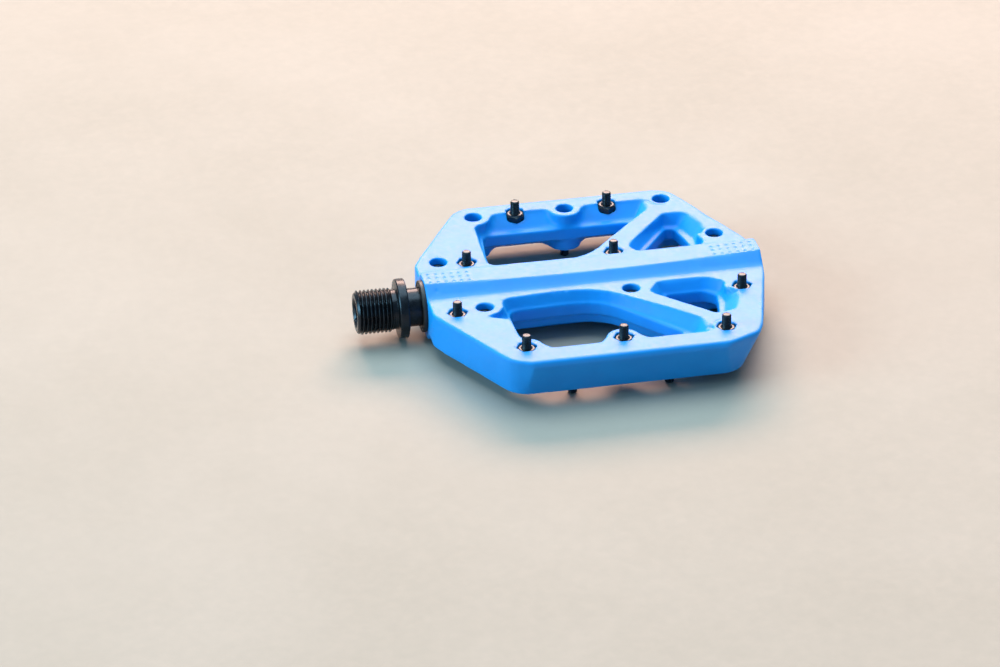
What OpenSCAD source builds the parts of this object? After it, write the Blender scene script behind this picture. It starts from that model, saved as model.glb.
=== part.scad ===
// Flat bicycle pedal: a moulded composite platform with screw-in traction pins, turning on a
// steel spindle that runs in a plain bushing and a cartridge ball bearing.
//
// The origin is on the spindle axis, in the face of the spindle's collar that seats on the crank arm.
// +X points away from the crank arm, along the spindle. +Z points up out of the upper tread.
// Both treads are alike: half a turn about the X axis brings the platform onto itself. So each
// feature is described once, on the upper half, and both_faces() makes its twin on the lower half.

/* [Platform] */
// Distance along the spindle from the crank arm's seat to the middle of the platform
platform_x = 62.5; // [62:0.25:63]
// Height of the tread's outer rails above the spindle axis
rail_z = 6.75; // [6.5:0.05:7]
// Height of the tread next to the central ridge above the spindle axis
wing_z = 5.85; // [5.6:0.05:6]
// Height of the central ridge above the spindle axis, near the ends of the platform
ridge_z = 9.1; // [8.8:0.05:9.4]
// How far the ridge dips in the middle
ridge_dip = 0.7; // [0:0.05:0.8]
// Half height of the band where the window walls stand upright
upright_z = 2; // [1.5:0.1:2.5]
// Height above the spindle axis where the shelf round an upright band meets the pocket's slope
shelf_z = 2.3; // [2.1:0.1:3]

/* [Traction pins] */
// How far a pin stands out of the tread
pin_reach = 3.93; // [3:0.01:5]
// Thread diameter of the pins
pin_d = 3; // [2.8:0.1:3]
// Length of a pin screw under its head
screw_l = 10.7; // [10:0.1:11]
// Diameter of a pin screw's head
screw_head_d = 5.2; // [5:0.1:5.5]
// Height of a pin screw's head
screw_head_h = 3; // [2.5:0.1:3]
// Width across the flats of a pin nut
nut_flats = 5.5; // [5:0.1:5.6]
// Height of a pin nut
nut_h = 2.4; // [2:0.1:2.6]
// Length of a headless rail stud
stud_l = 10; // [8:0.5:10]
// Diameter of the holes through which the screw heads are reached
access_d = 5.5; // [5.5:0.1:6]

/* [Spindle] */
// Diameter over the crank thread
thread_d = 14.2; // [14:0.05:14.29]
// Length of the crank thread
thread_l = 13.3; // [12:0.1:15]
// Diameter of the collar
collar_d = 19.1; // [17:0.1:20]
// Thickness of the collar
collar_l = 3; // [2.5:0.1:3.5]
// Diameter of the neck between the collar and the seal
neck_d = 12.3; // [12.1:0.1:12.5]
// Width across the flats of the hex key socket
key_flats = 8; // [6:1:8]
// Depth of the hex key socket
key_depth = 9; // [6:1:11]

/* [Bearings] */
// Diameter of the journal inside the plain bushing
journal_d = 12; // [11.8:0.1:12]
// Radial running clearance of the bushing and of the seal on the spindle
running_gap = 0.03; // [0.02:0.01:0.05]
// Outer diameter of the plain bushing
bushing_d = 15; // [14.6:0.1:15]
// Number of balls in the cartridge bearing
ball_count = 9; // [7:1:9]
// Diameter of a bearing ball
ball_d = 2; // [1.8:0.05:2]
// Gap between a ball and the bottom of its groove
groove_gap = 0.1; // [0.05:0.01:0.12]

/* [Hidden] */
$fn = 96;

// Colours
moulded_blue = [0.08, 0.47, 0.90];
black_steel = [0.10, 0.10, 0.11];
bright_steel = [0.72, 0.73, 0.75];
seal_black = [0.04, 0.04, 0.045];
bushing_ochre = [0.80, 0.62, 0.25];

// Stations along the spindle, from the crank arm's seat
seal_face_x = 7.5;
body_face_x = 8.8;
bushing_x = 11.8;
bushing_end_x = 27.8;
bearing_x = 93;
bearing_w = 5;
bearing_end_x = bearing_x + bearing_w;
washer_end_x = bearing_end_x + 0.8;
lock_nut_end_x = washer_end_x + 5;
spindle_end_x = lock_nut_end_x + 1.7;
cap_floor_x = spindle_end_x + 1.5;
cap_face_x = 118.4;
past_end_x = 125;

// Radii along the spindle
neck_r = neck_d / 2;
journal_r = journal_d / 2;
taper_end_r = 4.2;
bearing_bore_r = 3.5;
bearing_r = 7;
lock_thread_r = 3;
cavity_r = 6.5;
cap_r = 7.5;
cap_bore_r = 6.2;
seal_r = 8;
seal_flange_r = 8.3;

// Cartridge bearing
pitch_r = (bearing_bore_r + bearing_r) / 2;
ball_r = ball_d / 2;
groove_r = ball_r + groove_gap;
inner_land_r = 4.55;
outer_land_r = 5.95;
land_gap = 0.3;
cage_w = 3;
cage_pocket_r = ball_r + 0.03;
shield_t = 0.25;
shield_inset = 0.3;

// Pins: head seats, nut seats and holes
nut_sink = 0.5;
pocket_flats = nut_flats + 0.1;
pocket_depth = nut_h + nut_sink + 0.05;
pin_hole_d = pin_d + 0.2;
pin_chamfer = 0.5;
socket_flats = 2.5;
hex = 1 / cos(30);   // across the corners of a hexagon that is 1 across its flats

// Plan positions of the upper tread's pins, from the middle of the platform: screws that come
// through the wings beside the ridge, screws through the rails, and studs in blind holes
wing_pins = [[-45.8, -17.1], [45.8, -18.2], [-36.8, 15.5], [11, 12.8]];
rail_pins = [[-29.2, -44.3], [1.45, -44.3], [34.1, -44.3]];
stud_pins = [[-15, 45.2], [15.9, 45.2]];

// Bosses that stay at full height in the windows: [x, y, radius, how far the foot spreads along the
// rail's edge, how far it lies from the boss's middle]
bosses = [
    [-29.2, -44.3, 5.6, 1.8, 2.2], [1.45, -44.3, 5.4, 1.8, 2.2], [-36.8, 15.5, 5.6, 0, 0],
    [45.8, -18.2, 5.8, 0, 0]
];

// Corners of closed outlines, counter-clockwise: [x, y, how far the rounding reaches along the edges]
// Edge of the upper tread
tread_edge = [
    [-53.7, -17.6, 2], [-34.5, -54.7, 6], [34, -54.6, 4], [44.3, -50, 2.5], [55.9, -8, 6],
    [56.1, 9.2, 1.5], [37, 51, 5], [-33.8, 51, 5], [-53.7, 17, 2]
];
// Ends of the widest line of the front rail's wall, just under the upper tread
front_crease = [[-29, -55.1], [32, -55.1]];
crease_z = 4.8;
edge_z = 6.8;

// Front large window, from the upper tread down: its mouth, the shelf round its upright band, the
// band, the lower shelf and the lower mouth. The third corner of each is the tip of the ramp that
// is scooped out beside a boss of the upper tread.
window_levels = [
    [
        [-30.7, -10.9, 2.8], [-31.2, -16.5, 0.5], [-38.2, -21.9, 0.8], [-30.4, -25.4, 0.8],
        [-29.6, -46.5, 0.8], [28.2, -46.5, 1], [27.9, -37.2, 1.2], [17.5, -25.6, 7],
        [1.6, -11.2, 7], [-11, -9.5, 5]
    ],
    [
        [-29.5, -12.5, 3], [-29.6, -17.2, 0.5], [-31.2, -20.6, 0.6], [-29.5, -25, 0.5],
        [-28.4, -40, 2], [25.3, -40, 0.6], [23.4, -37.4, 0.5], [14.1, -26.3, 6],
        [1.5, -12.1, 7], [-11, -11.6, 5]
    ],
    [
        [-28.8, -13.2, 3], [-28.8, -17.5, 0.4], [-28.7, -20, 0.4], [-28.6, -25, 0.5],
        [-27.2, -38.5, 2], [22.8, -38.5, 0.4], [21.9, -37.5, 0.3], [13.3, -26.6, 6],
        [1.4, -12.7, 7], [-11, -12.2, 5]
    ],
    [
        [-29.3, -12.6, 3], [-29.4, -17.5, 0.4], [-29.4, -20.3, 0.4], [-29.3, -25.3, 0.5],
        [-28.4, -40.7, 1.5], [25.3, -40.7, 0.8], [23.6, -37.8, 0.6], [14.2, -26.8, 6],
        [1.6, -12.1, 7], [-11, -11.6, 5]
    ],
    [
        [-30.4, -11.7, 2.5], [-30.4, -17.5, 0.4], [-30.4, -21, 0.4], [-30.3, -26, 0.5],
        [-29.8, -45, 0.8], [28.2, -45, 1], [28.2, -38.8, 1.2], [17, -27.2, 6],
        [2.2, -11.4, 7], [-11, -10.3, 5]
    ]
];
// Front triangular window, likewise
triangle_levels = [
    [
        [15.4, -16.2, 2.2], [33.3, -35.2, 1.5], [39.9, -33.8, 1.8], [43.7, -24.6, 1.6],
        [41, -14.3, 2], [36, -10.1, 2.5], [19.9, -10.1, 0.8]
    ],
    [
        [19.7, -14.9, 0.6], [32.6, -32.1, 0.8], [36.8, -31.5, 0.8], [39.3, -22.3, 0.8],
        [39.2, -15.2, 1], [35.5, -12.5, 2], [21.5, -12.5, 0.5]
    ],
    [
        [20.9, -15.3, 0.6], [32.6, -31.3, 0.8], [35.2, -30.8, 0.8], [37.2, -22, 0.6],
        [38, -15.8, 1], [34.8, -13, 2], [22.8, -13, 0.5]
    ],
    [
        [18.6, -15.1, 0.6], [32.1, -32.9, 0.8], [36.8, -32, 0.8], [39.6, -22.6, 0.8],
        [40, -14, 0.6], [38.6, -12.3, 0.6], [20.9, -12.5, 0.5]
    ],
    [
        [15.9, -15.6, 2.5], [32.3, -34.2, 1.5], [39.6, -33.9, 2.2], [43.8, -24.8, 1.6],
        [41, -13, 0.8], [40, -11, 0.8], [18.3, -11.2, 2]
    ]
];

// Height to which the ridge's slopes run on, before the dipped top cuts them off
crest_z = 9.5;
// Distance from the platform's middle at which the ridge has its full height
ridge_half_l = 50;

// Section of the upper tread across the platform: [y, z, rounding]
tread_section = [
    [-60, rail_z, 0.5], [-44, rail_z, 6], [-18, wing_z + 0.1, 6], [-7.4, wing_z, 1.4],
    [-2, crest_z, 0.1], [5.5, crest_z, 0.1], [9, wing_z, 1.2], [18, wing_z + 0.1, 6],
    [44, rail_z, 6], [60, rail_z, 0.5]
];

function flat(p) = [p.x, p.y];
function unit(v) = v / norm(v);

// Points of a closed outline whose corners are rounded to circular arcs, the same number at each
function rounded(corners, steps = 4) = [
    for (i = [0 : len(corners) - 1])
        let (
            here = flat(corners[i]),
            reach = corners[i].z,
            back = unit(flat(corners[(i + len(corners) - 1) % len(corners)]) - here) * reach,
            on = unit(flat(corners[(i + 1) % len(corners)]) - here) * reach,
            weight = norm(back - on) / (2 * reach)
        )
        for (k = [0 : steps])
            let (
                t = k / steps,
                before = (1 - t) * (1 - t),
                after = t * t,
                total = before + 2 * t * (1 - t) * weight + after
            )
            here + (before * back + after * on) / total
];

// A feature and its twin half a turn about the spindle axis
module both_faces() {
    children();
    rotate([180, 0, 0]) children();
}

module at_platform() {
    translate([platform_x, 0, 0]) children();
}

// Cylinder on the spindle axis between two stations
module along_x(r, x0, x1) {
    translate([x0, 0, 0]) rotate([0, 90, 0]) cylinder(r = r, h = x1 - x0);
}

// Hexagonal prism on the spindle axis
module hex_along_x(flats, x0, x1) {
    translate([x0, 0, 0]) rotate([0, 90, 0]) cylinder(d = flats * hex, h = x1 - x0, $fn = 6);
}

// Solid of revolution about the spindle axis, from its section's [x, r] points
module turned(section) {
    rotate([0, 90, 0]) rotate_extrude() polygon([for (p = section) [p[1], p[0]]]);
}

// Solid through outlines with equal numbers of points, at rising heights
module loft(outlines, heights) {
    n = len(outlines[0]);
    last = (len(outlines) - 1) * n;
    polyhedron(
        points = [for (k = [0 : len(outlines) - 1]) for (p = outlines[k]) [p.x, p.y, heights[k]]],
        faces = [
            [for (i = [0 : n - 1]) i],
            [for (i = [n - 1 : -1 : 0]) last + i],
            for (low = [0 : n : last - 1]) for (i = [0 : n - 1])
                let (a = low + i, b = low + (i + 1) % n) each [[a, a + n, b + n], [a, b + n, b]]
        ]
    );
}

// A hole through the platform that flares from an upright band, past a shelf, to each tread
module window(levels) {
    flare_z = 6.3;
    past_z = 12;
    heights = [past_z, flare_z, shelf_z, upright_z, -upright_z, -shelf_z, -flare_z, -past_z];
    picks = [0, 0, 1, 2, 2, 3, 4, 4];
    last = len(picks) - 1;
    loft(
        [for (i = [last : -1 : 0]) rounded(levels[picks[i]])],
        [for (i = [last : -1 : 0]) heights[i]]
    );
}

// The platform's plan shape, with walls that lean under the tread's edge and rise straight above it
module platform_plan() {
    slice_t = 0.1;
    hull() both_faces() {
        translate([0, 0, edge_z - slice_t]) linear_extrude(slice_t) polygon(rounded(tread_edge));
        translate([front_crease[0].x, front_crease[0].y, crease_z])
            cube([front_crease[1].x - front_crease[0].x, 1, slice_t]);
    }
    both_faces() translate([0, 0, edge_z - slice_t]) linear_extrude(ridge_z) polygon(rounded(tread_edge));
}

// The platform's section along the spindle: rails, hollowed wings and the ridge
module platform_section() {
    half_l = 70;
    upper = rounded(tread_section);
    translate([-half_l, 0, 0]) rotate([90, 0, 90]) linear_extrude(2 * half_l)
        polygon(concat([for (i = [len(upper) - 1 : -1 : 0]) upper[i]], [
            for (i = [len(upper) - 1 : -1 : 0]) -upper[i]
        ]));
}

// A round boss, and the straight-sided foot by which it runs out into a rail
module boss(b) {
    height = 40;
    foot = b.z + b[3];
    neck = b.z * [0.92, 0.33];
    translate([b.x, b.y, -height / 2]) {
        cylinder(r = b.z, h = height);
        if (b[3] > 0)
            linear_extrude(height)
                polygon([[-foot, -b[4]], [foot, -b[4]], neck, [-neck.x, neck.y]]);
    }
}

// The side view of the ridge's top and of its twin, which dip in the middle
module ridge_profile() {
    half_l = 60;
    step = 6;
    top = [for (x = [-half_l : step : half_l])
        [x, ridge_z - ridge_dip * (1 - pow(x / ridge_half_l, 2))]];
    rotate([90, 0, 0]) translate([0, 0, -half_l]) linear_extrude(2 * half_l)
        polygon(concat([for (i = [len(top) - 1 : -1 : 0]) top[i]], [for (p = top) [p.x, -p.y]]));
}

// Everything that is cut for a pin that comes up through the tread at a given height
module pin_cut(face_z) {
    translate([0, 0, -20]) cylinder(d = pin_hole_d, h = 40);
    translate([0, 0, face_z - pocket_depth]) cylinder(d = pocket_flats * hex, h = 10, $fn = 6);
}

// The hole from the other face in which a screw's head sits
module head_cut(face_z) {
    seat = face_z + pin_reach - screw_l;
    translate([0, 0, seat - 20]) cylinder(d = access_d, h = 20);
}

// The blind hole and nut pocket of a rail stud, with a corner of the pocket towards the ridge
module stud_cut() {
    floor_z = rail_z + pin_reach - stud_l - 0.3;
    translate([0, 0, floor_z]) cylinder(d = pin_hole_d, h = 20);
    translate([0, 0, rail_z - pocket_depth]) rotate(30)
        cylinder(d = pocket_flats * hex, h = 10, $fn = 6);
}

// Repeats a shape at plan positions on the upper tread
module at_pins(places, z) {
    for (p = places) translate([p.x, p.y, z]) children();
}

module platform_body() {
    color(moulded_blue)
        difference() {
            at_platform() difference() {
                intersection() {
                    platform_plan();
                    platform_section();
                    ridge_profile();
                }
                difference() {
                    both_faces() {
                        window(window_levels);
                        window(triangle_levels);
                    }
                    both_faces() for (b = bosses) boss(b);
                }
                both_faces() {
                    at_pins(wing_pins, 0) pin_cut(wing_z);
                    at_pins(wing_pins, 0) head_cut(wing_z);
                    at_pins(rail_pins, 0) pin_cut(rail_z);
                    at_pins(rail_pins, 0) head_cut(rail_z);
                    at_pins(stud_pins, 0) stud_cut();
                }
            }
            along_x(seal_r, 0, bushing_x);
            along_x(bushing_d / 2, 0, bushing_end_x);
            along_x(cavity_r, 0, past_end_x);
            along_x(bearing_r, bearing_x, past_end_x);
            along_x(cap_r, bearing_end_x, past_end_x);
        }
}

module spindle() {
    chamfer = 0.9;
    thread_r = thread_d / 2;
    collar_r = collar_d / 2;
    edge = 0.3;
    color(black_steel)
        difference() {
            turned([
                [-thread_l, 0], [-thread_l, thread_r - chamfer], [-thread_l + chamfer, thread_r],
                [0, thread_r], [0, collar_r - edge], [edge, collar_r], [collar_l - edge, collar_r],
                [collar_l, collar_r - edge], [collar_l, neck_r], [bushing_x - 0.5, neck_r],
                [bushing_x - 0.3, journal_r], [bushing_end_x + 1, journal_r],
                [bearing_x, taper_end_r], [bearing_x, bearing_bore_r],
                [bearing_end_x, bearing_bore_r], [bearing_end_x, lock_thread_r],
                [spindle_end_x - 0.5, lock_thread_r], [spindle_end_x, lock_thread_r - 0.5],
                [spindle_end_x, 0]
            ]);
            hex_along_x(key_flats, -thread_l - 1, -thread_l + key_depth);
        }
}

module inboard_seal() {
    color(seal_black)
        difference() {
            union() {
                along_x(seal_flange_r, seal_face_x, body_face_x);
                along_x(seal_r, seal_face_x, bushing_x - 0.2);
            }
            along_x(neck_r + running_gap, 0, bushing_x);
        }
}

module plain_bushing() {
    color(bushing_ochre)
        difference() {
            along_x(bushing_d / 2, bushing_x, bushing_end_x);
            along_x(journal_r + running_gap, 0, bushing_end_x + 1);
        }
}

// A race's ring between two radii, with the ball groove cut into it
module race(r_in, r_out) {
    color(bright_steel)
        difference() {
            along_x(r_out, bearing_x, bearing_end_x);
            along_x(r_in, bearing_x - 1, bearing_end_x + 1);
            translate([bearing_x + bearing_w / 2, 0, 0]) rotate([0, 90, 0])
                rotate_extrude() translate([pitch_r, 0]) circle(r = groove_r);
        }
}

module bearing_inner_ring() {
    race(bearing_bore_r, inner_land_r);
}

module bearing_outer_ring() {
    race(outer_land_r, bearing_r);
}

// Repeats a shape at every ball's centre
module at_balls() {
    for (i = [0 : ball_count - 1])
        translate([bearing_x + bearing_w / 2, 0, 0]) rotate([i * 360 / ball_count, 0, 0])
            translate([0, 0, pitch_r]) children();
}

module bearing_balls() {
    color(bright_steel) at_balls() sphere(r = ball_r);
}

module bearing_cage() {
    middle = bearing_x + bearing_w / 2;
    color(seal_black)
        difference() {
            along_x(outer_land_r - land_gap, middle - cage_w / 2, middle + cage_w / 2);
            along_x(inner_land_r + land_gap, bearing_x, bearing_end_x);
            at_balls() sphere(r = cage_pocket_r);
        }
}

module bearing_shields() {
    color(seal_black)
        for (x = [bearing_x + shield_inset, bearing_end_x - shield_inset - shield_t])
            difference() {
                along_x(outer_land_r, x, x + shield_t);
                along_x(inner_land_r + land_gap, x - 1, x + 1);
            }
}

module spindle_washer() {
    color(bright_steel)
        difference() {
            along_x(inner_land_r, bearing_end_x, washer_end_x);
            along_x(lock_thread_r, bearing_x, washer_end_x + 1);
        }
}

module spindle_lock_nut() {
    flats = 10;
    color(bright_steel)
        difference() {
            hex_along_x(flats, washer_end_x, lock_nut_end_x);
            along_x(lock_thread_r, bearing_end_x, lock_nut_end_x + 1);
        }
}

// Station and section radius of the end cap's o-ring
ring_x = cap_face_x - 5;
ring_r = 0.45;
ring_centre_r = 7;

module end_cap() {
    chamfer = 0.4;
    key = 6;
    key_l = 5;
    color(black_steel)
        difference() {
            turned([
                [bearing_end_x, cap_bore_r], [bearing_end_x, cap_r],
                [ring_x - ring_r - 0.1, cap_r], [ring_x - ring_r - 0.1, cap_r - 1],
                [ring_x + ring_r + 0.1, cap_r - 1], [ring_x + ring_r + 0.1, cap_r],
                [cap_face_x - chamfer, cap_r], [cap_face_x, cap_r - chamfer], [cap_face_x, 0],
                [cap_floor_x, 0], [cap_floor_x, cap_bore_r]
            ]);
            hex_along_x(key, cap_face_x - key_l, cap_face_x + 1);
        }
}

module end_cap_o_ring() {
    color(seal_black)
        translate([ring_x, 0, 0]) rotate([0, 90, 0])
            rotate_extrude() translate([ring_centre_r, 0]) circle(r = ring_r);
}

// A threaded rod standing on z = 0 with a chamfered tip
module rod(l) {
    cylinder(d = pin_d, h = l - pin_chamfer);
    translate([0, 0, l - pin_chamfer]) cylinder(d1 = pin_d, d2 = pin_d - 2 * pin_chamfer, h = pin_chamfer);
}

// A socket head screw with the seat of its head at z = 0, pointing up
module pin_screw() {
    difference() {
        union() {
            rod(screw_l);
            translate([0, 0, -screw_head_h]) cylinder(d = screw_head_d, h = screw_head_h);
        }
        translate([0, 0, -screw_head_h - 1]) cylinder(d = socket_flats * hex, h = 2.5, $fn = 6);
    }
}

// A headless stud on z = 0, pointing up
module rail_stud() {
    rod(stud_l);
}

// A hexagon nut with its seat at z = 0 and a washer face on top
module pin_nut() {
    washer_h = 0.1;
    difference() {
        union() {
            cylinder(d = nut_flats * hex, h = nut_h - washer_h, $fn = 6);
            cylinder(d = nut_flats - 0.4, h = nut_h);
        }
        translate([0, 0, -1]) cylinder(d = pin_d, h = nut_h + 2);
    }
}

module pin_screws() {
    color(black_steel) at_platform() {
        at_pins(wing_pins, wing_z + pin_reach - screw_l) pin_screw();
        at_pins(rail_pins, rail_z + pin_reach - screw_l) pin_screw();
    }
}

module pin_nuts() {
    color(black_steel) at_platform() {
        at_pins(wing_pins, wing_z - nut_sink - nut_h) pin_nut();
        at_pins(rail_pins, rail_z - nut_sink - nut_h) pin_nut();
    }
}

module rail_studs() {
    color(black_steel) at_platform()
        at_pins(stud_pins, rail_z + pin_reach - stud_l) rail_stud();
}

module rail_nuts() {
    color(black_steel) at_platform()
        at_pins(stud_pins, rail_z - nut_sink - nut_h) rotate(30) pin_nut();
}

module upper_pin_screws() { pin_screws(); }
module lower_pin_screws() { rotate([180, 0, 0]) pin_screws(); }
module upper_pin_nuts() { pin_nuts(); }
module lower_pin_nuts() { rotate([180, 0, 0]) pin_nuts(); }
module upper_rail_studs() { rail_studs(); }
module lower_rail_studs() { rotate([180, 0, 0]) rail_studs(); }
module upper_rail_nuts() { rail_nuts(); }
module lower_rail_nuts() { rotate([180, 0, 0]) rail_nuts(); }

platform_body();
spindle();
inboard_seal();
plain_bushing();
bearing_inner_ring();
bearing_outer_ring();
bearing_balls();
bearing_cage();
bearing_shields();
spindle_washer();
spindle_lock_nut();
end_cap();
end_cap_o_ring();
upper_pin_screws();
upper_pin_nuts();
lower_pin_screws();
lower_pin_nuts();
upper_rail_studs();
upper_rail_nuts();
lower_rail_studs();
lower_rail_nuts();
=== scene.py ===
"""Looks of the flat pedal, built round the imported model. Meshes are worked out in millimetres."""

import math

import bpy
import numpy as np
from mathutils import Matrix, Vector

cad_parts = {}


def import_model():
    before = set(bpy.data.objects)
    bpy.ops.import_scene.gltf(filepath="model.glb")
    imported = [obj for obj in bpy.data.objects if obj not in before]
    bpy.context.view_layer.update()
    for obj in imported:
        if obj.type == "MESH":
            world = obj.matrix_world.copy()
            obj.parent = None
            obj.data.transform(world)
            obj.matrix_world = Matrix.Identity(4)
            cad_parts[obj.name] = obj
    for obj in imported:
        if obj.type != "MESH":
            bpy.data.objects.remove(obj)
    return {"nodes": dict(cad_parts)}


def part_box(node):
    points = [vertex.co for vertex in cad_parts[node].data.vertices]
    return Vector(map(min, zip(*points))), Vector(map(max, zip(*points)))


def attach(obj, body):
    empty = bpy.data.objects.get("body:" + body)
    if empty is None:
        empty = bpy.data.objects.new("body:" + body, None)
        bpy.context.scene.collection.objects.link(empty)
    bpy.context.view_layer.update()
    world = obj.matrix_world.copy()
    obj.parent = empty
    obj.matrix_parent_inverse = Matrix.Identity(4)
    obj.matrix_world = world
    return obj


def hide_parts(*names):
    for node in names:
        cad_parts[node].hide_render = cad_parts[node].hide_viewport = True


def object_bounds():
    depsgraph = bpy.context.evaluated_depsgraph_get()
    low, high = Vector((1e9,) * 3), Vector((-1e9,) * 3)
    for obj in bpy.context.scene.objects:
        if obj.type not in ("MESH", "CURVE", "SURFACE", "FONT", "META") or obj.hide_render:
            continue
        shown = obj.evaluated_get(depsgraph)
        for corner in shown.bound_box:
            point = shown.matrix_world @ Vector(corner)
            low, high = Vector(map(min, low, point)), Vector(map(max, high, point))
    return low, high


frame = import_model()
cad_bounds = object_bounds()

import openvdb as vdb
from mathutils import Matrix, Vector

MM = 0.001


# ---------------------------------------------------------------- reading the frame

def node_arrays(node):
    """Vertices in millimetres and triangles of a CAD node."""
    mesh = frame["nodes"][node].data
    mesh.calc_loop_triangles()
    points = np.zeros(len(mesh.vertices) * 3, np.float32)
    mesh.vertices.foreach_get("co", points)
    triangles = np.zeros(len(mesh.loop_triangles) * 3, np.int32)
    mesh.loop_triangles.foreach_get("vertices", triangles)
    return points.reshape(-1, 3) / MM, triangles.reshape(-1, 3)


def solids(node):
    """(lowest corner, highest corner) in millimetres of each separate solid of a CAD node."""
    points, triangles = node_arrays(node)
    _, merged = np.unique(np.round(points, 3), axis=0, return_inverse=True)
    merged = merged.reshape(-1)
    label = np.arange(merged.max() + 1)
    edges = merged[triangles]
    while True:
        before = label.copy()
        low = label[edges].min(axis=1)
        for k in range(3):
            np.minimum.at(label, edges[:, k], low)
        label = label[label]
        if (label == before).all():
            break
    of_point = label[merged]
    return [
        (points[of_point == i].min(axis=0), points[of_point == i].max(axis=0))
        for i in np.unique(of_point)
    ]


# ---------------------------------------------------------------- mesh making

def smooth_step(x, low, high):
    """0 up to low, 1 from high on, and an S curve between them."""
    t = np.clip((x - low) / (high - low), 0, 1)
    return t * t * (3 - 2 * t)


def add_mesh(name, points, faces, angle=32, normals=None):
    """A mesh object from points in millimetres and faces, smooth but for edges sharper than angle."""
    mesh = bpy.data.meshes.new(name)
    mesh.from_pydata((np.asarray(points, float) * MM).tolist(), [], faces)
    mesh.validate()
    mesh.shade_smooth()
    if normals is None:
        mesh.set_sharp_from_angle(angle=math.radians(angle))
    else:
        mesh.normals_split_custom_set_from_vertices(normals)
    obj = bpy.data.objects.new(name, mesh)
    bpy.context.scene.collection.objects.link(obj)
    return obj


def grid_faces(rows, columns, closed=False):
    """Quads between rows of points that each go once round. closed joins the last row to the first."""
    faces = []
    for i in range(rows if closed else rows - 1):
        a, b = i * columns, ((i + 1) % rows) * columns
        faces += [
            (a + j, a + (j + 1) % columns, b + (j + 1) % columns, b + j)
            for j in range(columns)
        ]
    return faces


def rows_mesh(rows, columns, closed=False):
    """Points and faces of a turned shape. A row is (height, radius), each a number or one per column."""
    turn = np.arange(columns) * 2 * math.pi / columns
    points = np.concatenate([
        np.stack(
            [r * np.cos(turn), r * np.sin(turn), np.broadcast_to(np.asarray(h, float), turn.shape)],
            axis=1,
        )
        for h, r in rows
    ])
    faces = grid_faces(len(rows), columns, closed)
    if not closed:
        for start, reverse in ((0, False), ((len(rows) - 1) * columns, True)):
            ring = list(range(start, start + columns))
            faces.append(ring if reverse else ring[::-1])
    return points, faces


def arc_profile(corners, steps=4):
    """An open profile of (height, radius) corners, each rounded by its third number."""
    out = []
    for i, (h, r, reach) in enumerate(corners):
        if reach == 0 or i in (0, len(corners) - 1):
            out.append((h, r))
            continue
        here = np.array([h, r])
        back = np.array(corners[i - 1][:2]) - here
        on = np.array(corners[i + 1][:2]) - here
        cosine = back @ on / np.linalg.norm(back) / np.linalg.norm(on)
        half = math.acos(max(-1, min(1, cosine))) / 2
        length = min(reach / math.tan(half), 0.49 * np.linalg.norm(back), 0.49 * np.linalg.norm(on))
        back, on = (v / np.linalg.norm(v) * length for v in (back, on))
        weight = math.sin(half)
        for k in range(steps + 1):
            t = k / steps
            b0, b1, b2 = (1 - t) ** 2, 2 * t * (1 - t) * weight, t * t
            out.append(tuple(here + (b0 * back + b2 * on) / (b0 + b1 + b2)))
    return out


def hexagon(flats, columns, offset=0.0):
    """Radius of a hexagon at each column. A corner lies at the angle offset, in degrees."""
    turn = np.degrees(np.arange(columns) * 2 * math.pi / columns) - offset
    return flats / 2 / np.cos(np.radians((turn % 60) - 30))


# A thread's section: how much its flanks overshoot and how far its crests are cut down, and how much
# of its slope is rounded off
THREAD_STEEPNESS, THREAD_CUT, THREAD_ROUNDING = 1.28, 0.06, 0.35


def thread_rows(start, end, major, depth, pitch, columns, hand=1, steps=10, trail=0.0):
    """Rows of a V thread between two heights, which fades out over trail."""
    turn = np.arange(columns) / columns
    count = max(2, round((end - start) / pitch * steps))
    rows = []
    for h in np.linspace(start, end, count + 1):
        phase = (h / pitch - hand * turn) % 1
        tooth = np.clip((0.5 - np.abs(phase - 0.5)) * 2 * THREAD_STEEPNESS - THREAD_CUT, 0, 1)
        tooth = smooth_step(tooth, 0, 1) * THREAD_ROUNDING + tooth * (1 - THREAD_ROUNDING)
        rise = min(1.0, (end - h) / trail) if trail else 1.0
        rows.append((h, major - depth * (1 - tooth * rise)))
    return rows


# ---------------------------------------------------------------- platform

# Grid step in mm, grid steps left free round the body, and how far a level set reaches in mm past
# the distances it is asked for
VOXEL = 0.25
MARGIN = 12
BAND = 1.0
# How readily nearly flat faces are merged: in steps on the way, and in the final mesh
STEP_MERGE, FLAT_MERGE = 0.002, 0.02
# A vertex normal leans to a face within 25 degrees of it, more so the larger the face, in mm2
FLAT_COSINE, FLAT_SHARE = math.cos(math.radians(25)), 0.3


def level_set(points, triangles, quads, width):
    """The grid of distances from a surface, out to a width."""
    transform = vdb.createLinearTransform(voxelSize=VOXEL)
    return vdb.FloatGrid.createLevelSetFromPolygons(
        np.ascontiguousarray(points, np.float32),
        triangles=np.ascontiguousarray(triangles, np.uint32),
        quads=np.ascontiguousarray(quads, np.uint32),
        transform=transform,
        halfWidth=width / VOXEL + 3,
    )


def moved(grid, distance, width):
    """The distance grid of a grid's surface moved out by distance."""
    points, triangles, quads = grid.convertToPolygons(isovalue=distance, adaptivity=STEP_MERGE)
    return level_set(points, triangles, quads, width)


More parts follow.
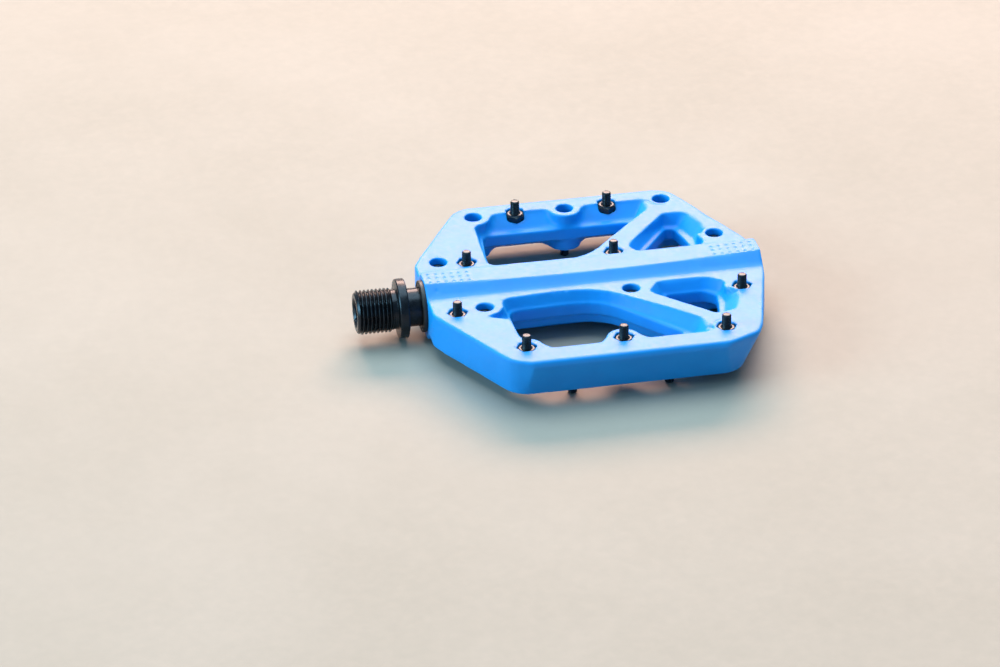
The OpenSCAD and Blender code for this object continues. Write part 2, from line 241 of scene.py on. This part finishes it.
def convex_outline(points):
    """Corners of the convex hull of plan points, and the outward normal of the edge from each."""
    ordered = sorted(set(map(tuple, np.round(points, 2).tolist())))

    def chain(seq):
        out = []
        for p in seq:
            while len(out) > 1 and (
                (out[-1][0] - out[-2][0]) * (p[1] - out[-2][1])
                - (out[-1][1] - out[-2][1]) * (p[0] - out[-2][0])
            ) <= 0:
                out.pop()
            out.append(p)
        return out[:-1]

    ring = np.array(chain(ordered) + chain(ordered[::-1]))
    along = np.roll(ring, -1, axis=0) - ring
    normal = np.stack([along[:, 1], -along[:, 0]], axis=1)
    return ring, normal / np.linalg.norm(normal, axis=1)[:, None]


# Radii of the moulded inner corners: the usual one, and round the rail bosses
FILLET, BOSS_FILLET = 0.7, 2.0
# Radii of the moulded outer corners: at the pins and the bore, the usual one, along the outline, and
# where the pockets fade into the tread
PIN_RADIUS, EDGE_RADIUS, OUTER_RADIUS, SOFT_RADIUS = 0.2, 0.5, 0.8, 2.2
# Places where a pocket fades into the tread, alike on both sides and faces: x, |y|, reach
SOFT_PLACES = ((92.5, 42.0, 5.5), (105.5, 29.0, 5.5), (104.5, 24.0, 4.5))
# Rail bosses, whose feet spread into the pocket with the large fillet: x, |y|, reach
BOSS_PLACES = ((33.3, 44.3, 9.5), (63.95, 44.3, 9.5))
# Depths from the outline between which the outer radius gives way to the usual one, and distances
# from a pin's axis and from the spindle's axis between which the small radius does
OUTER_FADE, PIN_FADE, BORE_FADE = (2.6, 4.4), (3.7, 4.5), (9.6, 11.0)
# Stations between which the bore's small radius ends behind the seal, and starts before the cap
INBOARD_FADE, OUTBOARD_FADE = (11.5, 13.5), (111.5, 114.0)
# Heights between which the soft places begin
SOFT_RISE = (2.5, 4.0)
# Grip dimples in the ridge's ends: first and step along x, and each row's y on the upper face
DIMPLE_COLUMNS = ((10.85, 2.51), (103.5, 2.52))
DIMPLE_ROWS = (3.4, 1.0, -1.85)
DIMPLE_COUNT, DIMPLE_R, DIMPLE_DEPTH = 6, 0.64, 0.24
# The ridge's middle line, and a height inside its wall, clear of the bores
RIDGE_MIDDLE_Y, RIDGE_WALL_Z = 1.75, 8.4


def platform():
    """The moulded body: the CAD solid with every edge rounded and the grip dimples sunk in."""
    points, triangles = node_arrays("platform_body")
    no_quads = np.zeros((0, 4))
    wide = SOFT_RADIUS + BAND
    body = level_set(points, triangles, no_quads, wide)
    filled = moved(body, FILLET, wide + FILLET)
    filled_wide = moved(body, BOSS_FILLET, BOSS_FILLET + 2 * BAND)
    low = np.floor(points.min(axis=0) / VOXEL).astype(int) - MARGIN
    high = np.ceil(points.max(axis=0) / VOXEL).astype(int) + MARGIN
    shape = tuple(high - low)
    start = tuple(int(v) for v in low)

    def rounded(source, shrink, radius):
        """Distances from a surface that is moved in, with its outer edges rounded."""
        values = np.zeros(shape, np.float32)
        moved(source, -shrink - radius, radius + BAND).copyToArray(values, ijk=start)
        return values - radius

    crisp = rounded(body, 0.0, PIN_RADIUS)
    edges = rounded(filled, FILLET, EDGE_RADIUS)
    outer = rounded(filled, FILLET, OUTER_RADIUS)
    boss = rounded(filled_wide, BOSS_FILLET, EDGE_RADIUS)
    soft = rounded(filled, FILLET, SOFT_RADIUS)

    x, y, z = (
        ((np.arange(n) + s) * VOXEL).astype(np.float32)
        for n, s in zip(shape, start)
    )
    x, y, z = x[:, None, None], y[None, :, None], z[None, None, :]

    ring, normal = convex_outline(points[:, :2])
    depth = np.min([
        -((x - p[0]) * n[0] + (y - p[1]) * n[1]) for p, n in zip(ring, normal)
    ], axis=0)
    weight = 1 - smooth_step(depth, *OUTER_FADE)
    field = edges + (outer - edges) * weight

    def near(places, full, gone):
        """1 within a share of each place's reach, fading to 0 at a larger share."""
        weight = np.zeros(shape[:2] + (1,), np.float32)
        for px, py, reach in places:
            for side in (py, -py):
                away = np.hypot(x - px, y - side)
                weight = np.maximum(weight, 1 - smooth_step(away, reach * full, reach * gone))
        return weight

    field += (boss - field) * near(BOSS_PLACES, 0.85, 1.1)
    field += (soft - field) * near(SOFT_PLACES, 0.3, 1.35) * smooth_step(np.abs(z), *SOFT_RISE)

    weight = np.zeros(shape[:2] + (1,), np.float32)
    for node in ("upper_pin_screws", "lower_pin_screws", "upper_rail_nuts", "lower_rail_nuts"):
        for a, b in solids(node):
            away = np.hypot(x - (a[0] + b[0]) / 2, y - (a[1] + b[1]) / 2)
            weight = np.maximum(weight, 1 - smooth_step(away, *PIN_FADE))
    field += (crisp - field) * weight

    # The spindle's bore keeps its true size and crisp mouth
    away = np.hypot(y, z) + 0 * x
    weight = 1 - smooth_step(away, *BORE_FADE)
    weight = weight * (1 - smooth_step(x, *INBOARD_FADE) * (1 - smooth_step(x, *OUTBOARD_FADE)))
    field += (crisp - field) * weight

    # Height of the upper ridge at each station, which the dimples follow
    heights = z.ravel()[z.ravel() > RIDGE_WALL_Z]
    section = field[:, round(RIDGE_MIDDLE_Y / VOXEL) - start[1], -len(heights):]
    top = np.array([np.interp(0, row, heights) for row in section], np.float32)[:, None, None]
    dimples = np.full(shape[:2], 1e3, np.float32)
    for first, step in DIMPLE_COLUMNS:
        for k in range(DIMPLE_COUNT):
            for row in DIMPLE_ROWS:
                away = np.hypot(x[:, :, 0] - first - k * step, y[:, :, 0] - row)
                dimples = np.minimum(dimples, away)
    bowl_r = (DIMPLE_R ** 2 + DIMPLE_DEPTH ** 2) / 2 / DIMPLE_DEPTH
    for face in (1, -1):
        plan = dimples if face == 1 else dimples_mirrored(dimples, y)
        bowl = bowl_r - np.sqrt(plan[:, :, None] ** 2 + (face * z - top - bowl_r + DIMPLE_DEPTH) ** 2)
        field = np.maximum(field, bowl)

    return field, start


def dimples_mirrored(plan, y):
    """The same plan distances on the lower face, half a turn about the spindle axis away."""
    line = y[0, :, 0]
    return np.stack([np.interp(-line, line, column) for column in plan]).astype(np.float32)


def sample(field, start, points):
    """Trilinear values of a dense field at points."""
    at = points / VOXEL - np.array(start)
    base = np.clip(np.floor(at).astype(int), 0, np.array(field.shape) - 2)
    part = at - base
    total = 0
    for dx in (0, 1):
        for dy in (0, 1):
            for dz in (0, 1):
                share = (
                    (part[:, 0] if dx else 1 - part[:, 0])
                    * (part[:, 1] if dy else 1 - part[:, 1])
                    * (part[:, 2] if dz else 1 - part[:, 2])
                )
                total = total + share * field[base[:, 0] + dx, base[:, 1] + dy, base[:, 2] + dz]
    return total


def flat_normals(points, triangles, quads, slope):
    """Vertex normals: the field's slope, turned towards any large flat face that lies close to it."""
    total = slope * FLAT_SHARE
    for faces in (triangles, quads):
        if not len(faces):
            continue
        corners = points[faces]
        across = np.cross(corners[:, 2] - corners[:, 0], corners[:, -1] - corners[:, 1])
        if faces.shape[1] == 3:
            across = np.cross(corners[:, 1] - corners[:, 0], corners[:, 2] - corners[:, 0])
        across = across / 2
        size = np.linalg.norm(across, axis=1)
        for k in range(faces.shape[1]):
            at = faces[:, k]
            close = np.einsum("ij,ij->i", across, slope[at]) > FLAT_COSINE * size
            np.add.at(total, at[close], across[close])
    return total / np.linalg.norm(total, axis=1)[:, None]


# Turns the surface's curvature, per mm, into the painted edge highlight that the plastic reads
EDGE_HIGHLIGHT_GAIN = 0.5


def build_platform():
    """The platform's mesh, with smooth normals and its convex edges marked for a painted highlight."""
    field, start = platform()
    grid = vdb.FloatGrid(float(field.max()))
    grid.copyFromArray(np.ascontiguousarray(field), ijk=start)
    grid.transform = vdb.createLinearTransform(voxelSize=VOXEL)
    points, triangles, quads = grid.convertToPolygons(isovalue=0.0, adaptivity=FLAT_MERGE)
    slope = np.gradient(field)
    normals = np.stack([sample(g, start, points) for g in slope], axis=1)
    normals /= np.linalg.norm(normals, axis=1)[:, None]
    normals = flat_normals(points, triangles.astype(int), quads.astype(int), normals)
    faces = triangles.tolist() + quads.tolist()
    obj = add_mesh("Platform", points, faces, normals=normals)
    # How convex the surface is, for the paler colour along its edges, which is a painted highlight
    curve = sum(np.gradient(g, axis=k) for k, g in enumerate(slope)) / VOXEL
    curve = np.clip(sample(curve.astype(np.float32), start, points) * EDGE_HIGHLIGHT_GAIN, -1, 1)
    mark = obj.data.attributes.new("edge", "FLOAT", "POINT")
    mark.data.foreach_set("value", curve.astype(np.float32))
    return obj


# ---------------------------------------------------------------- metal pieces

def along_spindle(points):
    """Turns a shape whose axis is Z so that it lies along X."""
    return np.stack([points[:, 2], points[:, 0], points[:, 1]], axis=1)


def join(parts):
    """One list of points and one of faces from several."""
    points, faces, count = [], [], 0
    for p, f in parts:
        points.append(p)
        faces += [[i + count for i in face] for face in f]
        count += len(p)
    return np.concatenate(points), faces


SPINDLE_COLUMNS = 96
HAND = -1    # -1 for a left-hand crank thread
THREAD_R, THREAD_DEPTH, THREAD_PITCH = 7.1, 0.72, 1.27
# The thread's end chamfer: its smallest radius, and where it starts and ends behind the tip
CHAMFER_R, CHAMFER_START, CHAMFER_SPAN = 6.3, 0.1, (0.3, 1.6)
SPINDLE_KEY, SPINDLE_KEY_MOUTH = 8, 4.75


def spindle():
    """The threaded, collared spindle, with its hex socket and taper."""
    low, high = (np.array(v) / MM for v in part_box("spindle"))
    columns, tip, end = SPINDLE_COLUMNS, low[0], high[0]
    socket, mouth = hexagon(SPINDLE_KEY, columns), SPINDLE_KEY_MOUTH
    rows = [(tip + 10.5, 0.01), (tip + 9, 3.4), (tip + 9, socket * 0.985), (tip + 8.9, socket)]
    rows += [(tip + t, socket) for t in (6, 3, 1.2)]
    rows += [(tip + 0.75, np.minimum(socket, mouth)), (tip + 0.1, np.full(columns, mouth))]
    rows += [(tip, mouth + 0.12), (tip, 5.6), (tip, 6.1), (tip + 0.1, 6.28)]
    rows += thread_rows(
        tip + 0.35, tip + 11.9, THREAD_R, THREAD_DEPTH, THREAD_PITCH, columns, hand=HAND, trail=1.0
    )
    near, far = (tip + v for v in CHAMFER_SPAN)
    rows = [
        (h, np.minimum(r, CHAMFER_R + (h - tip - CHAMFER_START)) if near < h < far else r)
        for h, r in rows
    ]
    rows += arc_profile([
        (tip + 11.95, 6.38, 0), (-0.25, 6.38, 0.25), (0, 6.8, 0), (0, 9.25, 0.1), (0.3, 9.55, 0.25),
        (2.7, 9.55, 0.25), (3, 9.25, 0.1), (3, 6.5, 0.3), (3.35, 6.15, 0.3), (11.3, 6.15, 0.05),
        (11.5, 6, 0.05), (28.8, 6, 0.5), (92.9, 4.2, 0.1), (93, 3.5, 0), (98, 3.5, 0.05),
        (98.05, 3, 0), (end - 0.5, 3, 0.1), (end, 2.5, 0.1), (end, 0.01, 0),
    ])
    points, faces = rows_mesh(rows, columns)
    return add_mesh("Spindle_threaded", along_spindle(points), faces)


def seal():
    """The rubber seal's flange and lip round the neck."""
    low, high = (np.array(v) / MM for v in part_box("inboard_seal"))
    front, back, flange = low[0], high[0], high[1]
    rows = arc_profile([
        (front + 0.6, 6.18, 0), (front + 0.1, 6.18, 0), (front, 6.4, 0.1), (front, 6.9, 0.1),
        (front + 0.35, 7.15, 0.15), (front + 0.35, 7.45, 0.15), (front, 7.7, 0.1),
        (front, flange, 0.35), (front + 1.3, flange, 0.1), (front + 1.3, 8, 0), (back, 8, 0.2),
        (back, 6.18, 0.1), (back - 0.5, 6.18, 0),
    ], steps=3)
    points, faces = rows_mesh(rows, SPINDLE_COLUMNS, closed=True)
    return add_mesh("Inboard_seal_ring", along_spindle(points), faces)


CAP_KEY = 6


def cap():
    """The screw-in end cap with its key socket and O-ring groove."""
    low, high = (np.array(v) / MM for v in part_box("end_cap"))
    inner, face, columns = low[0], high[0], SPINDLE_COLUMNS
    key = hexagon(CAP_KEY, columns)
    rows = arc_profile([
        (107, 0.01, 0), (107, 6.2, 0.3), (inner, 6.2, 0.1), (inner, 7.5, 0.2), (112.85, 7.5, 0.1),
        (112.85, 6.5, 0), (113.95, 6.5, 0), (113.95, 7.5, 0.1), (face, 7.5, 0.5), (face, 6.4, 0.15),
        (face - 0.35, 6.1, 0.15), (face - 0.35, 4.6, 0.15), (face, 4.3, 0.15), (face, 3.75, 0),
    ], steps=3)
    rows += [(face - 0.3, np.minimum(key, 3.6)), (face - 0.6, key), (face - 4.95, key)]
    rows += [(face - 5, key * 0.985), (face - 5, 2.5), (face - 5.8, 0.01)]
    points, faces = rows_mesh(rows, columns)
    return add_mesh("Outboard_end_cap", along_spindle(points), faces)


PIN_R, PIN_THREAD, PIN_PITCH, PIN_COLUMNS = 1.5, 0.2, 0.5, 24
PIN_TIP_R, PIN_KEY, PIN_HEAD_R = 1.12, 2.5, 2.6
NUT_FLATS, NUT_COLUMNS = 5.5, 48


def pin_thread(start, end):
    """Rows of an M3 thread that ends in a chamfered, slightly domed tip."""
    rows = thread_rows(start, end - 0.08, PIN_R, PIN_THREAD, PIN_PITCH, PIN_COLUMNS, steps=6)
    rows = [(h, np.minimum(r, PIN_TIP_R + (end - h))) for h, r in rows]
    return rows + [(end - 0.03, PIN_TIP_R), (end, 1.0), (end, 0.01)]


def pin_screw(length):
    """A socket head screw standing on its head."""
    socket = hexagon(PIN_KEY, PIN_COLUMNS)
    rows = [(1.75, 0.01), (1.5, 1.15), (1.5, socket * 0.98), (1.45, socket), (0.2, socket)]
    rows += arc_profile([
        (0.05, 1.55, 0), (0, 1.6, 0), (0, PIN_HEAD_R, 0.3), (3, PIN_HEAD_R, 0.12), (3, 1.55, 0),
    ], steps=3)
    return rows_mesh(rows + pin_thread(3.05, length), PIN_COLUMNS)


def rail_stud(length):
    """A headless threaded stud."""
    rows = [(0, 0.01), (0, 0.8), (0.05, 0.95)]
    thread = [(h, np.minimum(r, 1.0 + h)) for h, r in pin_thread(0.1, length)]
    return rows_mesh(rows + thread, PIN_COLUMNS)


def pin_nut(height, corner):
    """A hexagon nut with chamfered corners and a washer face."""
    hexed = hexagon(NUT_FLATS, NUT_COLUMNS, corner)
    top = height - 0.2
    rows = [
        (0.3, 1.48), (0.0, 1.8), (0, hexed - 0.12), (0.1, hexed),
        (top - 0.25 - (hexed - NUT_FLATS / 2) * 0.7, hexed), (top, 2.5), (top, 2.46),
        (height - 0.03, 2.42), (height, 2.36), (height, 1.9), (height - 0.3, 1.53),
    ]
    return rows_mesh(rows, NUT_COLUMNS, closed=True)


def repeat(name, node, make, up):
    """Puts a small part at the place of each of a CAD node's solids, pointing up or down."""
    parts = []
    for low, high in solids(node):
        points, faces = make(float(high[2] - low[2]))
        base = low[2] if up else high[2]
        side = 1 if up else -1
        centre = (low + high) / 2
        points = points * [1, side, side] + [centre[0], centre[1], base]
        parts.append((points, faces))
    return add_mesh(name, *join(parts))


# ---------------------------------------------------------------- materials

class Nodes:
    """A small helper for making a material's nodes."""

    def __init__(self, name):
        self.material = bpy.data.materials.new(name)
        self.material.use_nodes = True
        self.tree = self.material.node_tree
        self.shader = self.tree.nodes["Principled BSDF"]
        self.place = self.add("ShaderNodeTexCoord").outputs["Object"]

    def add(self, kind, **values):
        node = self.tree.nodes.new(kind)
        for key, value in values.items():
            setattr(node, key, value)
        return node

    def link(self, a, b):
        self.tree.links.new(a, b)

    def noise(self, size, detail=4.0, roughness=0.6):
        """Noise with features of about a size in millimetres."""
        node = self.add("ShaderNodeTexNoise")
        node.inputs["Scale"].default_value = 1 / (size * MM)
        node.inputs["Detail"].default_value = detail
        node.inputs["Roughness"].default_value = roughness
        self.link(self.place, node.inputs["Vector"])
        return node.outputs["Fac"]

    def span(self, value, low, high, to_low, to_high):
        node = self.add("ShaderNodeMapRange")
        for key, number in zip(("From Min", "From Max", "To Min", "To Max"), (low, high, to_low, to_high)):
            node.inputs[key].default_value = number
        self.link(value, node.inputs["Value"])
        return node.outputs["Result"]

    def mix(self, share, a, b):
        node = self.add("ShaderNodeMix", data_type="RGBA")
        self.link(share, node.inputs["Factor"])
        for socket, colour in ((node.inputs[6], a), (node.inputs[7], b)):
            if isinstance(colour, tuple):
                socket.default_value = (*colour, 1)
            else:
                self.link(colour, socket)
        return node.outputs[2]

    def bump(self, height, strength, distance, under=None):
        node = self.add("ShaderNodeBump")
        node.inputs["Strength"].default_value = strength
        node.inputs["Distance"].default_value = distance * MM
        self.link(height, node.inputs["Height"])
        if under is not None:
            self.link(under, node.inputs["Normal"])
        return node.outputs["Normal"]

    def finish(self, colour=None, roughness=None, normal=None, **constants):
        for socket, value in (("Base Color", colour), ("Roughness", roughness), ("Normal", normal)):
            if value is not None:
                self.link(value, self.shader.inputs[socket])
        for key, value in constants.items():
            self.shader.inputs[key.replace("_", " ")].default_value = value
        return self.material


def moulded_plastic():
    n = Nodes("moulded_blue_nylon")
    cloud = n.noise(9, 3)
    grain = n.noise(0.35, 2, 0.5)
    colour = n.mix(n.span(cloud, 0.35, 0.65, 0, 1), (0.0, 0.285, 0.78), (0.0, 0.305, 0.82))
    # Convex edges are painted a paler blue: a painted highlight along the rounded edges
    edge = n.add("ShaderNodeAttribute", attribute_name="edge").outputs["Fac"]
    colour = n.mix(n.span(edge, 0.25, 0.8, 0, 0.35), colour, (0.05, 0.42, 0.92))
    rough = n.span(n.noise(1.6, 5), 0.3, 0.7, 0.42, 0.52)
    normal = n.bump(grain, 0.12, 0.05)
    return n.finish(colour, rough, normal, IOR=1.5, Specular_Tint=(0.8, 0.1, 0.3, 1))


def dark_steel(name, tone=(0.018, 0.021, 0.027), worn=(0.13, 0.15, 0.15), rough=(0.24, 0.36)):
    n = Nodes(name)
    patina = n.noise(2.2, 5)
    fine = n.noise(0.25, 3)
    colour = n.mix(n.span(patina, 0.3, 0.7, 0, 1), tone, tuple(1.7 * c for c in tone))
    scuff = n.span(n.noise(0.9, 6, 0.7), 0.62, 0.72, 0, 0.35)
    colour = n.mix(scuff, colour, worn)
    roughness = n.span(patina, 0.3, 0.7, *rough)
    return n.finish(colour, roughness, n.bump(fine, 0.1, 0.02), Metallic=0.85)


def bright_steel():
    n = Nodes("ground_steel")
    fine = n.noise(0.3, 4)
    colour = n.mix(fine, (0.55, 0.56, 0.58), (0.68, 0.68, 0.69))
    return n.finish(colour, n.span(fine, 0.3, 0.7, 0.16, 0.28), n.bump(fine, 0.06, 0.01), Metallic=1.0)


def rubber():
    n = Nodes("seal_rubber_black")
    fine = n.noise(0.4, 4)
    colour = n.mix(fine, (0.018, 0.018, 0.02), (0.035, 0.034, 0.036))
    return n.finish(colour, n.span(fine, 0.3, 0.7, 0.42, 0.58), n.bump(fine, 0.15, 0.03))


def polymer(name, a, b):
    n = Nodes(name)
    fine = n.noise(0.8, 4)
    return n.finish(n.mix(fine, a, b), n.span(fine, 0.3, 0.7, 0.35, 0.5), n.bump(fine, 0.1, 0.03))


def dress(obj, material):
    obj.data.materials.clear()
    obj.data.materials.append(material)


def soften(node, width):
    """Small bevels on a CAD node's own edges."""
    obj = frame["nodes"][node]
    weld = obj.modifiers.new("weld", "WELD")
    weld.merge_threshold = 1e-6
    bevel = obj.modifiers.new("bevel", "BEVEL")
    bevel.width = width * MM
    bevel.segments = 2
    bevel.limit_method = "ANGLE"
    bevel.angle_limit = math.radians(40)
    bevel.harden_normals = True


# ---------------------------------------------------------------- the object

steel = dark_steel("blackened_steel")
pin_steel = dark_steel("blackened_pin_steel", (0.024, 0.03, 0.038), (0.24, 0.28, 0.27), (0.22, 0.36))

made = {
    "platform_body": (build_platform(), moulded_plastic(), "platform", "moulded_blue"),
    "spindle": (spindle(), steel, "spindle_group", "black_steel"),
    "inboard_seal": (seal(), rubber(), "platform", "seal_rubber"),
    "end_cap": (cap(), steel, "platform", "black_steel"),
}
for face, up in (("upper", True), ("lower", False)):
    for kind, make in (
        ("pin_screws", pin_screw),
        ("rail_studs", rail_stud),
        ("pin_nuts", lambda height: pin_nut(height, 0)),
        ("rail_nuts", lambda height: pin_nut(height, 30)),
    ):
        node = f"{face}_{kind}"
        piece = repeat(f"{face.capitalize()}_{kind}_threaded", node, make, up)
        made[node] = (piece, pin_steel, "platform", "black_steel")

for node, (piece, material, body, slot) in made.items():
    dress(piece, material)
    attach(piece, body)
    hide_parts(node)

inner_steel = bright_steel()
cage = polymer("cage_plastic_dark", (0.02, 0.02, 0.022), (0.04, 0.04, 0.042))
for node, material, width in (
    ("bearing_inner_ring", inner_steel, 0.1),
    ("bearing_outer_ring", inner_steel, 0.1),
    ("bearing_balls", inner_steel, 0),
    ("spindle_washer", inner_steel, 0.08),
    ("spindle_lock_nut", inner_steel, 0.2),
    ("bearing_cage", cage, 0),
    ("bearing_shields", rubber(), 0),
    ("end_cap_o_ring", rubber(), 0),
    ("plain_bushing", polymer("bushing_polymer", (0.55, 0.36, 0.09), (0.66, 0.45, 0.14)), 0.15),
):
    dress(frame["nodes"][node], material)
    if width:
        soften(node, width)


# ---------------------------------------------------------------- floor, light and camera

low, high = cad_bounds
floor_z = low.z


def floor():
    """A plain pale floor under the resting part."""
    size = 3.0
    mesh = bpy.data.meshes.new("floor")
    mesh.from_pydata(
        [(-size, -size, floor_z), (size, -size, floor_z), (size, size, floor_z), (-size, size, floor_z)],
        [], [(0, 1, 2, 3)],
    )
    obj = bpy.data.objects.new("floor", mesh)
    bpy.context.scene.collection.objects.link(obj)
    n = Nodes("floor_pale")
    tone = n.mix(n.span(n.noise(120, 4), 0.35, 0.65, 0, 1), (0.38, 0.32, 0.27), (0.41, 0.345, 0.295))
    n.finish(tone, n.span(n.noise(3, 4), 0.3, 0.7, 0.8, 0.95))
    obj.data.materials.append(n.material)


def area_light(name, place, target, size, radiance, colour):
    """A rectangular light of a size in metres that faces a target."""
    data = bpy.data.lights.new(name, "AREA")
    data.shape = "RECTANGLE"
    data.size, data.size_y = size
    data.energy = radiance * math.pi * size[0] * size[1]
    data.color = colour
    obj = bpy.data.objects.new(name, data)
    obj.location = place
    obj.rotation_euler = (Vector(target) - Vector(place)).to_track_quat("-Z", "Y").to_euler()
    bpy.context.scene.collection.objects.link(obj)


def world():
    w = bpy.data.worlds.new("studio")
    w.use_nodes = True
    back = w.node_tree.nodes["Background"]
    back.inputs["Color"].default_value = (0.4, 0.72, 1.0, 1)
    back.inputs["Strength"].default_value = 0.42
    bpy.context.scene.world = w


# The camera's place, the way it looks and its upward direction, in the part's frame
CAMERA_PLACE = (-0.15508, -0.99081, 0.55034)
CAMERA_FORWARD, CAMERA_UP = (0.16317, 0.85768, -0.48761), (0.10346, 0.47664, 0.87299)


def camera():
    data = bpy.data.cameras.new("camera")
    data.sensor_width = 36
    data.lens = 129.6
    data.clip_start, data.clip_end = 0.01, 50
    obj = bpy.data.objects.new("camera", data)
    forward, up = (Vector(v).normalized() for v in (CAMERA_FORWARD, CAMERA_UP))
    right = forward.cross(up).normalized()
    up = right.cross(forward)
    turn = Matrix((right, up, -forward)).transposed()
    obj.matrix_world = Matrix.Translation(CAMERA_PLACE) @ turn.to_4x4()
    bpy.context.scene.collection.objects.link(obj)
    bpy.context.scene.camera = obj


floor()
world()
centre = (low + high) / 2
area_light("back_sky", (0.48, 1.78, 1.2), centre, (2.0, 0.8), 20.0, (1.0, 0.65, 0.5))
area_light("overhead", (0.0, 0.4, 2.0), centre, (2.0, 2.0), 4.0, (0.7, 0.94, 1.0))
area_light("left_fill", (-2.3, -0.2, 0.8), centre, (1.2, 1.2), 12.5, (0.4, 0.83, 1.0))
camera()
bpy.context.scene.view_settings.view_transform = "Standard"
